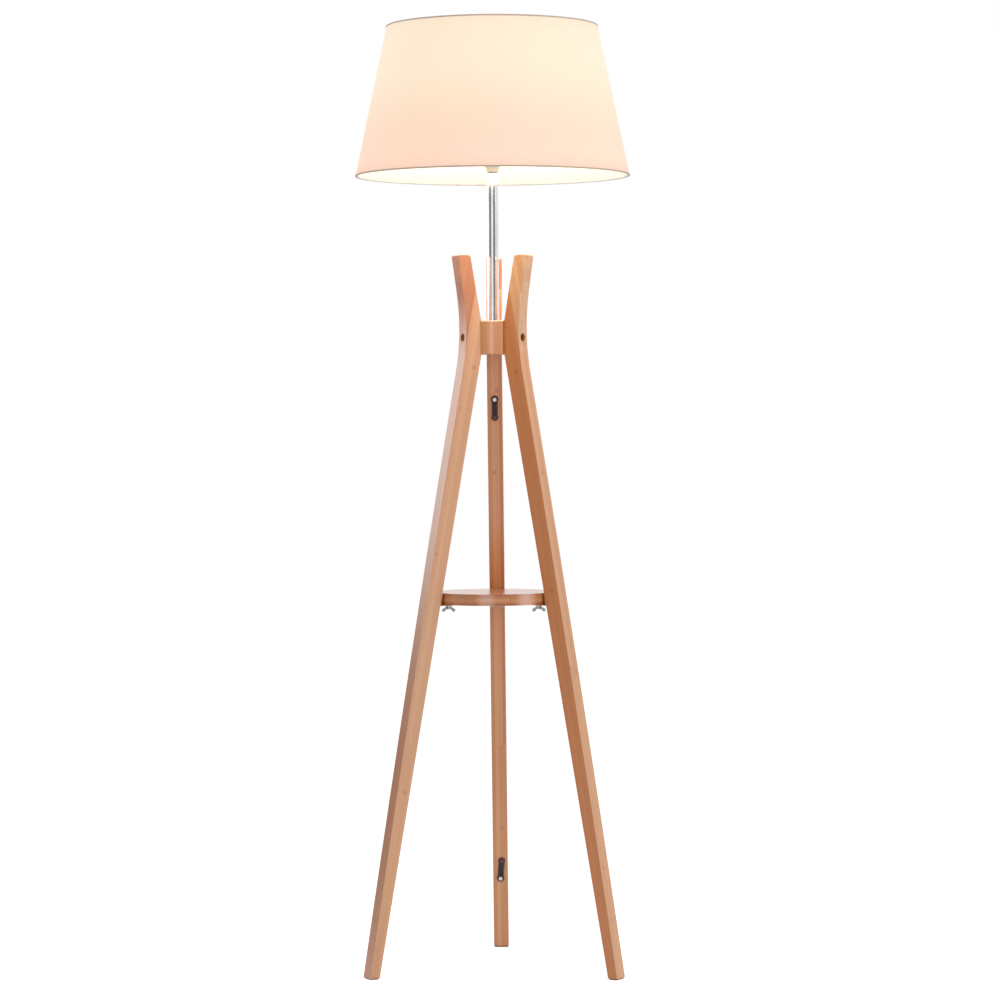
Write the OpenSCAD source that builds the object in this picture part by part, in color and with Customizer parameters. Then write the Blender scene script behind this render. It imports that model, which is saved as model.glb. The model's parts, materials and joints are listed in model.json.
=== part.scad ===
// Tripod floor lamp: three bent bamboo legs bolted to a round hub, a shelf hung between them,
// a chrome stem and a lampholder that carries a conical fabric shade.
// Millimetres, +Z up. The origin is on the floor, under the stem's axis.
// The rear leg points along +Y; the left and right legs point 30 degrees in front of -X and +X.

/* [Legs] */
// Height of the leg tops above the floor
leg_h = 1169; // [1120:1:1240]
// Thickness of a leg across its radial plane
leg_t = 25; // [22:0.5:32]
// Radius of the feet's centres
foot_r = 227.8; // [190:0.2:270]
// Radial width of a foot
foot_w = 17; // [14:0.2:24]
// Radial width of a leg at the hub's lower edge
leg_w_low = 29; // [26:0.1:34]
// How far the outer face of the lower arm bulges out of a straight line
leg_bow = 2.7; // [0:0.1:6]
// Radial width of a leg at the hub's upper edge
leg_w_up = 25; // [23:0.1:30]
// Radial width of a leg at its top
leg_w_top = 21.8; // [16:0.1:28]
// Inner radius of the leg tops
leg_top_r = 48.5; // [40:0.5:60]
// Radius of the rounded waist in the outer face
waist_round = 395; // [250:5:500]
// Radius of a leg top's outer corner
top_round_out = 1.5; // [0.5:0.5:6]
// Radius of a leg top's inner corner
top_round_in = 5; // [1:0.5:8]
// Thickness of the pad under a foot
pad_t = 2; // [1:0.5:5]
// How far a pad stays inside the foot's outline
pad_inset = 1; // [0:0.5:3]

/* [Hub] */
// Distance of the hub's middle below the leg tops
hub_drop = 134.5; // [100:0.5:170]
// Height of the hub
hub_h = 56; // [50:1:65]
// Radius of the hub's round side
hub_r = 33; // [32.5:0.5:36]
// Distance of the hub's flats from its axis
hub_flat_r = 29; // [28.5:0.5:30]
// Chamfer of the hub's rims
hub_chamfer = 1.5; // [0.5:0.5:3]
// Depth of the seat for the stem in the hub's top
stem_seat = 3; // [2:0.5:6]
// Radius of the recess in the hub's underside
recess_r = 12.5; // [12:0.5:14]
// Depth of the recess in the hub's underside
recess_depth = 12; // [11.5:0.5:14]

/* [Leg bolts] */
// Radius of the bolt's shank
bolt_r = 3; // [2.5:0.5:3.5]
// Radius of the bolt's head
bolt_head_r = 5; // [4.5:0.5:5.5]
// Height of the bolt's head
bolt_head_h = 6; // [4:0.5:7]
// Length of the bolt under its head
bolt_len = 30; // [29:0.5:31]
// Key size of the bolt's hexagon socket
bolt_key = 5; // [4:0.5:5]
// Depth of the bolt's hexagon socket
bolt_key_depth = 3; // [2:0.5:3.5]
// Radius of the sunk hole for the head
sink_r = 7; // [6.4:0.1:7.5]
// Wood left between the sunk hole's floor and the hub
sink_wood = 15; // [14:0.5:17]
// Radius of the bolt's washer
washer_r = 6.2; // [5.6:0.1:6.3]
// Thickness of the bolt's washer
washer_t = 1.6; // [1:0.1:2]
// Radius of the threaded insert in the hub
insert_r = 4.5; // [4:0.1:5]
// Length of the threaded insert
insert_len = 13; // [10:0.5:13.5]

/* [Shelf] */
// Thickness of the shelf
shelf_t = 18.5; // [15:0.5:19]
// Height of the shelf's underside above the floor
shelf_z = 599.5; // [597:0.5:606]
// Thickness of a shelf bracket's plate
bracket_t = 2; // [1.5:0.1:2.1]
// Width of a bracket's arm under the shelf
bracket_arm_w = 20; // [16:1:24]
// How far a bracket's upright stays below the shelf's top
bracket_drop = 0.5; // [0:0.5:3]
// Distance of the studs from the shelf's rim
stud_inset = 15; // [12:0.5:20]
// Radius of a stud
stud_r = 2.5; // [2:0.1:2.8]
// Length of a stud inside the shelf
stud_in = 13; // [8:0.5:14]
// Free thread left below a wing nut
stud_free = 1; // [0.5:0.5:8]
// Radius of a stud's washer
stud_washer_r = 5; // [4:0.1:6]
// Thickness of a stud's washer
stud_washer_t = 1; // [0.8:0.1:1.6]
// Distance between the two screws of a bracket
bracket_screw_gap = 15; // [12:0.5:17]
// Radius of a bracket screw's shank
bracket_screw_r = 1.75; // [1.5:0.05:2]
// Length of a bracket screw
bracket_screw_len = 15; // [10:0.5:18]
// Radius of a bracket screw's countersunk head
bracket_head_r = 3.5; // [3:0.1:3.8]

/* [Wing nuts] */
// Radius of the boss where it meets the washer
nut_boss_r = 4.4; // [4:0.1:6]
// Height of the boss
nut_boss_h = 4.5; // [4:0.5:8]
// Reach of a wing's tip from the axis
wing_reach = 11; // [9:0.5:14]
// Distance of a wing's lowest point below the washer
wing_drop = 9.5; // [8:0.5:14]
// Thickness of a wing
wing_t = 2; // [1.5:0.1:3]
// Radius of a wing's rounded tip
wing_round = 2.9; // [2.5:0.1:4]
// Radius of a wing's root
wing_root_r = 1.6; // [1.2:0.1:2]
// Distance of a wing's root inside the boss
wing_root_in = 2; // [1.8:0.1:2.2]

/* [Cord straps] */
// Distance of the upper strap's screw below the hub
strap_up_drop = 72.5; // [40:0.5:120]
// Height of the lower strap's screw above the floor
strap_low_z = 121; // [100:1:200]
// Distance from a strap's screw to the middle of its free end
strap_len = 30.5; // [24:0.5:40]
// Radius of a strap's end at the screw
strap_end_r = 6.4; // [6:0.1:8]
// Radius of a strap's free end
strap_tip_r = 6; // [5:0.1:7]
// Width of a strap at its middle
strap_waist = 10.4; // [8:0.2:10.8]
// Thickness of a strap
strap_t = 2.2; // [1.5:0.1:3.5]
// Angle at which the lower strap stands off the leg's centre line
strap_lean = 4; // [0:1:15]
// Radius of a strap screw's shank
strap_screw_r = 1.75; // [1.5:0.05:2.2]
// Radius of a strap screw's head
strap_head_r = 3.1; // [2.8:0.1:4]
// Height of a strap screw's head
strap_head_h = 2.2; // [1.5:0.1:3]
// Depth of a strap screw in the leg
strap_screw_in = 12; // [8:0.5:14]
// Key size of the recess in a strap screw's head
strap_key = 2; // [1.5:0.1:2.5]
// Radius of the press stud at a strap's free end
press_stud_r = 3; // [2:0.1:4]
// Height of the press stud
press_stud_h = 0.8; // [0.5:0.1:1.5]

/* [Stem] */
// Radius of the stem tube
stem_r = 9.5; // [9.2:0.1:10.5]
// Wall of the stem tube
stem_wall = 1.2; // [0.8:0.1:1.4]
// Length of the stem that shows between hub and lampholder
stem_len = 242.5; // [200:0.5:300]
// Length of the threaded bushes in the stem's ends
bush_len = 15; // [13:0.5:25]
// Radius of the hollow threaded nipples
nipple_r = 4.95; // [4.8:0.05:5.2]
// Radius of the cord's way through the nipples
cord_way_r = 3.5; // [3:0.1:3.8]
// How far the nipples reach into the stem
nipple_in = 12; // [8:0.5:12.5]
// How far the upper nipple stays below the lampholder's floor
nipple_short = 1; // [0:0.5:3]
// Key size of the nut under the hub
stem_nut_key = 14; // [13:0.5:16]
// Thickness of the nut under the hub
stem_nut_t = 3; // [2:0.5:4]
// Radius of the washer under the hub
stem_washer_r = 11; // [10:0.5:11.5]
// Thickness of the washer under the hub
stem_washer_t = 1.5; // [1:0.1:2]
// Radius of the cord bushing
bushing_r = 7; // [6.5:0.5:8]
// Thickness of the cord bushing's closed rim
bushing_rim = 3; // [2:0.1:3.5]
// Radius of the cord's hole in the bushing
bushing_hole_r = 3.2; // [2.8:0.1:3.4]
// How far the bushing stays inside the hub
bushing_in = 1; // [0:0.5:1.5]

/* [Lampholder] */
// Radius of the cap's neck
neck_r = 9.7; // [9.6:0.1:11]
// Height of the straight part of the neck
neck_h = 1.8; // [1:0.1:2]
// Height of the flare between the neck and the cap's full width
flare_h = 13; // [9:0.5:13]
// Radius of the lampholder's cap
cap_r = 19; // [18.5:0.1:19.2]
// Height of the cap
cap_h = 27; // [26:0.5:32]
// Radius of the flange that carries the shade
flange_r = 22.5; // [21.5:0.1:23.5]
// Thickness of the flange
flange_t = 2.5; // [1.5:0.1:4]
// Thickness of the cap's floor
cap_floor = 15; // [14:0.5:17]
// Wall of the cap and of the threaded skirt
holder_wall = 1.9; // [1.5:0.1:2.2]
// Radius of the threaded skirt
skirt_r = 19.4; // [19.3:0.1:19.6]
// Height of the threaded skirt
skirt_h = 24; // [20:0.5:30]
// Radius of the bulb's screw cap
bulb_cap_r = 13.1; // [12.9:0.1:13.2]
// Wall of the screw shell
shell_t = 0.5; // [0.3:0.1:0.8]
// Height of the screw shell
shell_h = 24; // [20:0.5:25]
// Thickness of the porcelain floor
porcelain_floor = 7; // [5:0.5:9]
// Thickness of the centre contact
contact_t = 1; // [0.5:0.1:1.5]
// Radius of the centre contact
contact_r = 4; // [3:0.5:6]

/* [Clamp ring] */
// Radius of the clamp ring's flange
clamp_r = 28; // [26:0.5:32]
// Height of the clamp ring
clamp_h = 8; // [6:0.5:12]
// Thickness of the clamp ring's flange
clamp_flange_t = 2.5; // [2:0.1:4]
// Radius of the clamp ring's collar
clamp_collar_r = 22.5; // [21.5:0.5:24]
// Number of finger notches in the clamp ring
clamp_notches = 12; // [6:1:20]
// Radius of a finger notch
clamp_notch_r = 2.2; // [1.5:0.1:3]
// Distance of a notch's centre outside the flange
clamp_notch_out = 0.8; // [0.5:0.1:1.2]

/* [Bulb] */
// Radius of the bulb's glass
bulb_r = 30; // [25:0.5:32]
// Height of the bulb from its end contact to its top
bulb_h = 108; // [98:1:120]
// Height of the bulb's screw cap
bulb_cap_h = 22; // [20:0.5:24]
// Height of the bulb's end contact and its insulator
bulb_tip_h = 3; // [2:0.5:4]
// Radius of the end contact
bulb_tip_r = 3; // [2:0.5:4]
// Radius of the insulator where it meets the screw cap
bulb_foot_r = 9; // [7:0.5:11]
// Radius of the glass where it leaves the screw cap
bulb_neck_r = 13.5; // [13:0.1:15]
// Angle below the sphere's equator where the neck joins it
bulb_neck_angle = 35; // [30:1:45]

/* [Shade] */
// Outer radius of the shade's lower edge
shade_low_r = 225.5; // [200:0.5:240]
// Outer radius of the shade's upper edge
shade_top_r = 174; // [150:1:195]
// Height of the shade
shade_h = 246.5; // [220:0.5:280]
// Height of the fitter ring above the shade's lower edge
shade_drop = 32; // [28:1:60]
// Thickness of the shade's fabric and lining
fabric_t = 1.2; // [0.8:0.1:2]
// Radius of the rings' wire
wire_r = 2; // [1.8:0.1:2.5]
// Radius of the arms' wire
arm_r = 1.7; // [1.2:0.1:1.7]
// How far the fitter ring stands out past the clamp ring
fitter_rim = 3; // [1:0.5:6]
// Thickness of the fitter ring
fitter_t = 2; // [1.5:0.1:3]
// Radius at which the arms bend down to the lower ring
arm_bend_r = 200; // [170:1:205]
// Turn of the shade's arms away from the legs
shade_turn = 2; // [0:1:60]
// How far the bead at an arm's bend stands proud of the wire
bend_bead = 0.3; // [0.3:0.1:0.6]

/* [Clearances] */
// Radial clearance of threads and turning fits
thread_gap = 0.05; // [0.02:0.01:0.08]
// Radial clearance of plain holes
hole_gap = 0.15; // [0.1:0.05:0.3]
// Gap between loose curved faces
curve_gap = 0.3; // [0.2:0.05:0.5]
// Gap between the shelf's rim and a bracket
shelf_gap = 0.7; // [0.3:0.1:0.9]

/* [Hidden] */
$fn = 96;
EPS = 0.01;

// Directions of the legs
left_angle = 210;
right_angle = 330;
rear_angle = 90;

// Colours
BAMBOO = [0.78, 0.55, 0.36];
CHROME = [0.80, 0.80, 0.82];
ZINC = [0.72, 0.73, 0.74];
DARK_STEEL = [0.16, 0.13, 0.11];
BRASS = [0.80, 0.64, 0.30];
IVORY = [0.93, 0.90, 0.83];

// Levels of the hub
hub_z = leg_h - hub_drop;
hub_low = hub_z - hub_h / 2;
hub_top = hub_z + hub_h / 2;

// A leg's inner and outer faces, as radius over height
foot_in_r = foot_r - foot_w / 2;
foot_out_r = foot_r + foot_w / 2;
lean_in = (foot_in_r - hub_flat_r) / (hub_low - pad_t);
lean_out = (foot_out_r - hub_flat_r - leg_w_low) / (hub_low - pad_t);
flare_in = (leg_top_r - hub_flat_r) / (leg_h - hub_top);
flare_out = (leg_top_r + leg_w_top - hub_flat_r - leg_w_up) / (leg_h - hub_top);
lean = atan(lean_in);
strap_up_z = hub_low - strap_up_drop;
function inner_r(z) = foot_in_r - lean_in * (z - pad_t);
function bow_share(z) = (z - pad_t) / (hub_low - pad_t);
function outer_low_r(z) = foot_out_r - lean_out * (z - pad_t)
    + 4 * leg_bow * bow_share(z) * (1 - bow_share(z));
function outer_up_r(z) = hub_flat_r + leg_w_up + flare_out * (z - hub_top);

// The waist: where the outer faces would cross if they ran straight on from the hub's edges,
// and the arc that rounds them
lean_waist = lean_out + 4 * leg_bow / (hub_low - pad_t);
waist_z = (leg_w_low - leg_w_up + lean_waist * hub_low + flare_out * hub_top)
    / (lean_waist + flare_out);
low_angle = atan(lean_waist);
up_angle = atan(flare_out);
waist_tangent = waist_round * tan((low_angle + up_angle) / 2);
waist_arc_r = outer_up_r(waist_z) + waist_tangent * sin(low_angle) + waist_round * cos(low_angle);
waist_arc_z = waist_z - waist_tangent * cos(low_angle) + waist_round * sin(low_angle);
function waist_points(steps) = [
    for (i = [0 : steps])
        let (a = -low_angle + i * (low_angle + up_angle) / steps)
            [waist_arc_r - waist_round * cos(a), waist_arc_z + waist_round * sin(a)]
];
waist_low_z = waist_arc_z - waist_round * sin(low_angle);
function bow_points(steps) = [
    for (i = [0 : steps - 1])
        let (z = pad_t + i * (waist_low_z - pad_t) / steps)
            [outer_low_r(z), z]
];

// Radial places of the bolted joint
sink_seat_r = hub_flat_r + sink_wood;
bolt_head_at_r = sink_seat_r + washer_t;
bolt_tip_r = bolt_head_at_r - bolt_len;

// Levels under the shelf
washer_top_z = shelf_z - bracket_t;
nut_top_z = washer_top_z - stud_washer_t;
stud_low_z = nut_top_z - nut_boss_h - stud_free;
bracket_top_z = shelf_z + shelf_t - bracket_drop;
plate_across = bracket_t / cos(lean);
bracket_screw_z = shelf_z + shelf_t / 2;
shelf_r = inner_r(bracket_top_z) - plate_across - shelf_gap;
stud_at_r = shelf_r - stud_inset;

// Levels of the stem and lampholder
stem_low_z = hub_top - stem_seat;
stem_top_z = hub_top + stem_len;
recess_top_z = hub_low + recess_depth;
stem_nut_z = recess_top_z - stem_washer_t - stem_nut_t;
holder_in_r = cap_r - holder_wall;
skirt_in_r = skirt_r - holder_wall;
skirt_z = stem_top_z + cap_h;
porcelain_z = stem_top_z + cap_floor;
shell_z = porcelain_z + porcelain_floor;
shell_in_r = bulb_cap_r + thread_gap;
bulb_z = shell_z + contact_t;
bulb_glass_z = bulb_z + bulb_tip_h + bulb_cap_h;
fitter_z = skirt_z;
clamp_z = fitter_z + fitter_t;
fitter_r = clamp_r + fitter_rim;

// Levels and slope of the shade
shade_z = fitter_z - shade_drop;
shade_slope = (shade_low_r - shade_top_r) / shade_h;
fabric_across = fabric_t / cos(atan(shade_slope));
arm_z = fitter_z + fitter_t / 2;
ring_in = fabric_across + (wire_r + curve_gap) / cos(atan(shade_slope));
low_ring_z = shade_z + wire_r;
low_ring_r = shade_low_r - shade_slope * wire_r - ring_in;
top_ring_z = shade_z + shade_h - wire_r;
top_ring_r = shade_top_r + shade_slope * wire_r - ring_in;

// Round bar from one point to another
module bar(from, to, r) {
    d = to - from;
    translate(from)
        rotate([0, acos(d.z / norm(d)), atan2(d.y, d.x)])
            cylinder(r = r, h = norm(d));
}

// Round plate or tube standing on z
module tube(z, h, r, bore) {
    translate([0, 0, z])
        difference() {
            cylinder(r = r, h = h);
            translate([0, 0, -1])
                cylinder(r = bore, h = h + 2);
        }
}

// A frame on a leg's inner face: X up along the leg, Y across it, Z towards the lamp's axis
module on_leg_face(azimuth, z) {
    rotate([0, 0, azimuth])
        translate([inner_r(z), 0, z])
            rotate([0, -90 - lean, 0])
                children();
}

// A frame on the bolt's axis: Z points outwards from the lamp's axis
module on_bolt_axis(azimuth, r) {
    rotate([0, 0, azimuth])
        translate([r, 0, hub_z])
            rotate([0, 90, 0])
                children();
}

// ---- Legs ----

module leg_outline() {
    top_in = leg_top_r;
    top_out = leg_top_r + leg_w_top;
    in_side = atan(flare_in);
    out_side = atan(flare_out);
    in_c = [top_in + top_round_in * tan(45 - in_side / 2), leg_h - top_round_in];
    out_c = [top_out - top_round_out * tan(45 + out_side / 2), leg_h - top_round_out];
    polygon(concat(
        [[foot_in_r, pad_t]],
        bow_points(10),
        waist_points(12),
        [for (i = [0 : 6]) let (a = -out_side + i * (90 + out_side) / 6)
            out_c + top_round_out * [cos(a), sin(a)]],
        [for (i = [0 : 6]) let (a = 90 + i * (90 - in_side) / 6)
            in_c + top_round_in * [cos(a), sin(a)]],
        [[hub_flat_r, hub_top], [hub_flat_r, hub_low]]
    ));
}

module leg(azimuth) {
    color(BAMBOO)
        difference() {
            rotate([0, 0, azimuth])
                rotate([90, 0, 0])
                    linear_extrude(leg_t, center = true)
                        leg_outline();
            on_bolt_axis(azimuth, hub_flat_r - 1)
                cylinder(r = bolt_r + hole_gap, h = sink_wood + 2);
            on_bolt_axis(azimuth, sink_seat_r)
                cylinder(r = sink_r, h = leg_w_low);
            for (side = [-1, 1])
                on_leg_face(azimuth, bracket_screw_z)
                    translate([0, side * bracket_screw_gap / 2, -bracket_screw_len])
                        cylinder(r = bracket_screw_r + thread_gap, h = bracket_screw_len + 1);
        }
}

module strap_screw_holes() {
    for (z = [strap_up_z, strap_low_z])
        on_leg_face(rear_angle, z)
            translate([0, 0, -strap_screw_in - 1])
                cylinder(r = strap_screw_r + thread_gap, h = strap_screw_in + 2);
}

module rear_leg() {
    color(BAMBOO)
        difference() {
            leg(rear_angle);
            strap_screw_holes();
        }
}

module foot_pad(azimuth) {
    color([0.20, 0.16, 0.13])
        rotate([0, 0, azimuth])
            translate([foot_in_r + pad_inset, -leg_t / 2 + pad_inset, 0])
                cube([foot_w - 2 * pad_inset, leg_t - 2 * pad_inset, pad_t]);
}

// ---- Hub and its bolts ----

module hub_blank() {
    c = hub_chamfer;
    rotate_extrude()
        polygon([
            [0, hub_low], [hub_r - c, hub_low], [hub_r, hub_low + c],
            [hub_r, hub_top - c], [hub_r - c, hub_top], [0, hub_top]
        ]);
}

module hub() {
    color(BAMBOO)
        difference() {
            hub_blank();
            for (a = [left_angle, right_angle, rear_angle]) {
                rotate([0, 0, a])
                    translate([hub_flat_r, -hub_r, hub_low - 1])
                        cube([hub_r, 2 * hub_r, hub_h + 2]);
                on_bolt_axis(a, hub_flat_r - insert_len - curve_gap)
                    cylinder(r = insert_r + thread_gap, h = insert_len + hub_r);
                on_bolt_axis(a, bolt_tip_r - 1)
                    cylinder(r = bolt_r + curve_gap, h = bolt_len);
            }
            translate([0, 0, hub_low - 1])
                cylinder(r = nipple_r + hole_gap, h = hub_h + 2);
            translate([0, 0, stem_low_z])
                cylinder(r = stem_r + hole_gap, h = stem_seat + 1);
            translate([0, 0, hub_low - 1])
                cylinder(r = recess_r, h = recess_depth + 1);
        }
}

module leg_bolt(azimuth) {
    color(DARK_STEEL)
        difference() {
            union() {
                on_bolt_axis(azimuth, bolt_tip_r)
                    cylinder(r = bolt_r, h = bolt_len + 1);
                on_bolt_axis(azimuth, bolt_head_at_r)
                    cylinder(r = bolt_head_r, h = bolt_head_h);
            }
            on_bolt_axis(azimuth, bolt_head_at_r + bolt_head_h - bolt_key_depth)
                cylinder(r = bolt_key / sqrt(3), h = bolt_key_depth + 1, $fn = 6);
        }
}

module leg_washer(azimuth) {
    color(DARK_STEEL)
        on_bolt_axis(azimuth, sink_seat_r)
            tube(0, washer_t, washer_r, bolt_r + hole_gap);
}

module hub_insert(azimuth) {
    color(BRASS)
        on_bolt_axis(azimuth, hub_flat_r - insert_len)
            tube(0, insert_len, insert_r, bolt_r + thread_gap);
}

// ---- Shelf and its fastenings ----

module at_stud(azimuth) {
    rotate([0, 0, azimuth])
        translate([stud_at_r, 0, 0])
            rotate([0, 0, -azimuth])
                children();
}

module shelf() {
    color(BAMBOO)
        difference() {
            translate([0, 0, shelf_z])
                cylinder(r = shelf_r, h = shelf_t);
            for (a = [left_angle, right_angle, rear_angle])
                at_stud(a)
                    translate([0, 0, shelf_z - 1])
                        cylinder(r = stud_r + thread_gap, h = stud_in + 2);
        }
}

module bracket_upright() {
    z0 = shelf_z - bracket_t;
    polygon([
        [inner_r(z0) - plate_across, z0], [inner_r(z0), z0],
        [inner_r(bracket_top_z), bracket_top_z],
        [inner_r(bracket_top_z) - plate_across, bracket_top_z]
    ]);
}

module shelf_bracket(azimuth) {
    arm_out_r = inner_r(shelf_z) - plate_across / 2;
    color(DARK_STEEL)
        difference() {
            union() {
                rotate([0, 0, azimuth])
                    rotate([90, 0, 0])
                        linear_extrude(leg_t, center = true)
                            bracket_upright();
                rotate([0, 0, azimuth])
                    translate([stud_at_r, -bracket_arm_w / 2, shelf_z - bracket_t])
                        cube([arm_out_r - stud_at_r, bracket_arm_w, bracket_t]);
                at_stud(azimuth)
                    translate([0, 0, shelf_z - bracket_t])
                        cylinder(r = bracket_arm_w / 2, h = bracket_t);
            }
            at_stud(azimuth)
                translate([0, 0, shelf_z - bracket_t - 1])
                    cylinder(r = stud_r + hole_gap, h = bracket_t + 2);
            for (side = [-1, 1])
                on_leg_face(azimuth, bracket_screw_z)
                    translate([0, side * bracket_screw_gap / 2, 0]) {
                        translate([0, 0, -1])
                            cylinder(r = bracket_screw_r + hole_gap, h = bracket_t + 2);
                        translate([0, 0, bracket_t + EPS])
                            bracket_sink(hole_gap);
                    }
        }
}

// Countersink below z = 0, wider than the screw's head by gap
module bracket_sink(gap) {
    depth = bracket_head_r - bracket_screw_r;
    translate([0, 0, -depth - EPS])
        cylinder(r1 = bracket_screw_r + gap, r2 = bracket_head_r + gap, h = depth + EPS);
}

module bracket_screws(azimuth) {
    head_h = bracket_head_r - bracket_screw_r;
    color(ZINC)
        for (side = [-1, 1])
            on_leg_face(azimuth, bracket_screw_z)
                translate([0, side * bracket_screw_gap / 2, 0]) {
                    translate([0, 0, bracket_t - bracket_screw_len])
                        cylinder(r = bracket_screw_r, h = bracket_screw_len - head_h / 2);
                    translate([0, 0, bracket_t - head_h])
                        cylinder(r1 = bracket_screw_r, r2 = bracket_head_r, h = head_h);
                }
}

module shelf_stud(azimuth) {
    color(ZINC)
        at_stud(azimuth)
            translate([0, 0, stud_low_z])
                cylinder(r = stud_r, h = shelf_z + stud_in - stud_low_z);
}

module stud_washer(azimuth) {
    color(ZINC)
        at_stud(azimuth)
            tube(nut_top_z, stud_washer_t, stud_washer_r, stud_r + hole_gap);
}

module wing_outline(side) {
    hull() {
        translate([side * (nut_boss_r - wing_root_in), -wing_root_r - curve_gap])
            circle(r = wing_root_r, $fn = 32);
        translate([side * (wing_reach - wing_round), wing_round - wing_drop])
            circle(r = wing_round, $fn = 32);
    }
}

module wing_nut(azimuth) {
    color(ZINC)
        at_stud(azimuth)
            translate([0, 0, nut_top_z])
                difference() {
                    union() {
                        translate([0, 0, -nut_boss_h])
                            cylinder(r1 = nut_boss_r - 1, r2 = nut_boss_r, h = nut_boss_h);
                        for (side = [-1, 1])
                            rotate([90, 0, 0])
                                linear_extrude(wing_t, center = true)
                                    wing_outline(side);
                    }
                    translate([0, 0, -wing_drop - 1])
                        cylinder(r = stud_r + thread_gap, h = wing_drop + 2);
                }
}

// ---- Cord straps on the rear leg ----

module strap_outline() {
    difference() {
        union() {
            circle(r = strap_end_r);
            translate([-strap_len, 0])
                circle(r = strap_tip_r);
            translate([-strap_len, -strap_waist / 2])
                square([strap_len, strap_waist]);
        }
        circle(r = strap_screw_r + thread_gap);
    }
}

module cord_strap(z, turn) {
    color([0.13, 0.09, 0.08])
        on_leg_face(rear_angle, z)
            translate([0, 0, thread_gap])
                rotate([0, 0, turn]) {
                    linear_extrude(strap_t)
                        strap_outline();
                    translate([-strap_len, 0, strap_t - EPS])
                        cylinder(r = press_stud_r, h = press_stud_h + EPS);
                }
}

module strap_screw(z) {
    head_z = strap_t + 2 * thread_gap;
    color(ZINC)
        on_leg_face(rear_angle, z)
            difference() {
                union() {
                    translate([0, 0, -strap_screw_in])
                        cylinder(r = strap_screw_r, h = strap_screw_in + head_z + EPS);
                    translate([0, 0, head_z])
                        cylinder(r = strap_head_r, h = strap_head_h);
                }
                translate([0, 0, head_z + strap_head_h / 2])
                    cylinder(r = strap_key / sqrt(3), h = strap_head_h, $fn = 6);
            }
}

// ---- Stem ----

module stem_tube() {
    color(CHROME)
        tube(stem_low_z, stem_top_z - stem_low_z, stem_r, stem_r - stem_wall);
}

module stem_bush(z) {
    color(ZINC)
        tube(z, bush_len, stem_r - stem_wall - thread_gap, nipple_r + thread_gap);
}

module stem_nipple() {
    low_z = hub_low + bushing_in + bushing_rim;
    color(ZINC)
        tube(low_z, stem_low_z + nipple_in - low_z, nipple_r, cord_way_r);
}

module stem_nut() {
    color(ZINC)
        translate([0, 0, stem_nut_z])
            difference() {
                cylinder(r = stem_nut_key / sqrt(3), h = stem_nut_t, $fn = 6);
                translate([0, 0, -1])
                    cylinder(r = nipple_r + thread_gap, h = stem_nut_t + 2);
            }
}

module stem_washer() {
    color(ZINC)
        tube(recess_top_z - stem_washer_t, stem_washer_t, stem_washer_r, nipple_r + hole_gap);
}

module cord_bushing() {
    rim_z = hub_low + bushing_in;
    color(IVORY)
        difference() {
            translate([0, 0, rim_z])
                cylinder(r = bushing_r, h = stem_nut_z - rim_z);
            translate([0, 0, rim_z - 1])
                cylinder(r = bushing_hole_r, h = bushing_rim + 2);
            translate([0, 0, rim_z + bushing_rim])
                cylinder(r = nipple_r + thread_gap, h = recess_depth);
        }
}

// ---- Lampholder ----

module holder_nipple() {
    low_z = stem_top_z - nipple_in;
    color(ZINC)
        tube(low_z, nipple_in + cap_floor - nipple_short, nipple_r, cord_way_r);
}

module holder_cap() {
    cove = cap_r - neck_r;
    z0 = stem_top_z;
    color(IVORY)
        rotate_extrude()
            polygon(concat(
                [[nipple_r + thread_gap, z0]],
                [for (i = [0 : 10]) let (a = i * 90 / 10)
                    [cap_r - cove * cos(a), z0 + neck_h + flare_h * sin(a)]],
                [
                    [cap_r, z0 + cap_h - flange_t], [flange_r, z0 + cap_h - flange_t],
                    [flange_r, z0 + cap_h], [holder_in_r, z0 + cap_h],
                    [holder_in_r, z0 + cap_floor], [nipple_r + thread_gap, z0 + cap_floor]
                ]
            ));
}

module holder_skirt() {
    color(IVORY)
        tube(skirt_z, skirt_h, skirt_r, skirt_in_r);
}

module porcelain_insert() {
    outer_r = min(holder_in_r, skirt_in_r) - curve_gap;
    well_r = shell_in_r + shell_t + curve_gap;
    color("white")
        difference() {
            translate([0, 0, porcelain_z])
                cylinder(r = outer_r, h = porcelain_floor + shell_h);
            translate([0, 0, shell_z])
                cylinder(r = well_r, h = shell_h + 1);
            translate([0, 0, porcelain_z - 1])
                cylinder(r = cord_way_r, h = porcelain_floor / 2 + 1);
        }
}

module screw_shell() {
    color(BRASS)
        tube(shell_z, shell_h, shell_in_r + shell_t, shell_in_r);
}

module centre_contact() {
    color(BRASS)
        translate([0, 0, shell_z])
            cylinder(r = contact_r, h = contact_t);
}

module clamp_ring() {
    color(IVORY)
        difference() {
            union() {
                tube(clamp_z, clamp_flange_t, clamp_r, skirt_r + thread_gap);
                tube(clamp_z, clamp_h, clamp_collar_r, skirt_r + thread_gap);
            }
            for (i = [0 : clamp_notches - 1])
                rotate([0, 0, i * 360 / clamp_notches])
                    translate([clamp_r + clamp_notch_out, 0, clamp_z - 1])
                        cylinder(r = clamp_notch_r, h = clamp_flange_t + 2);
        }
}

// ---- Bulb ----

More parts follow.
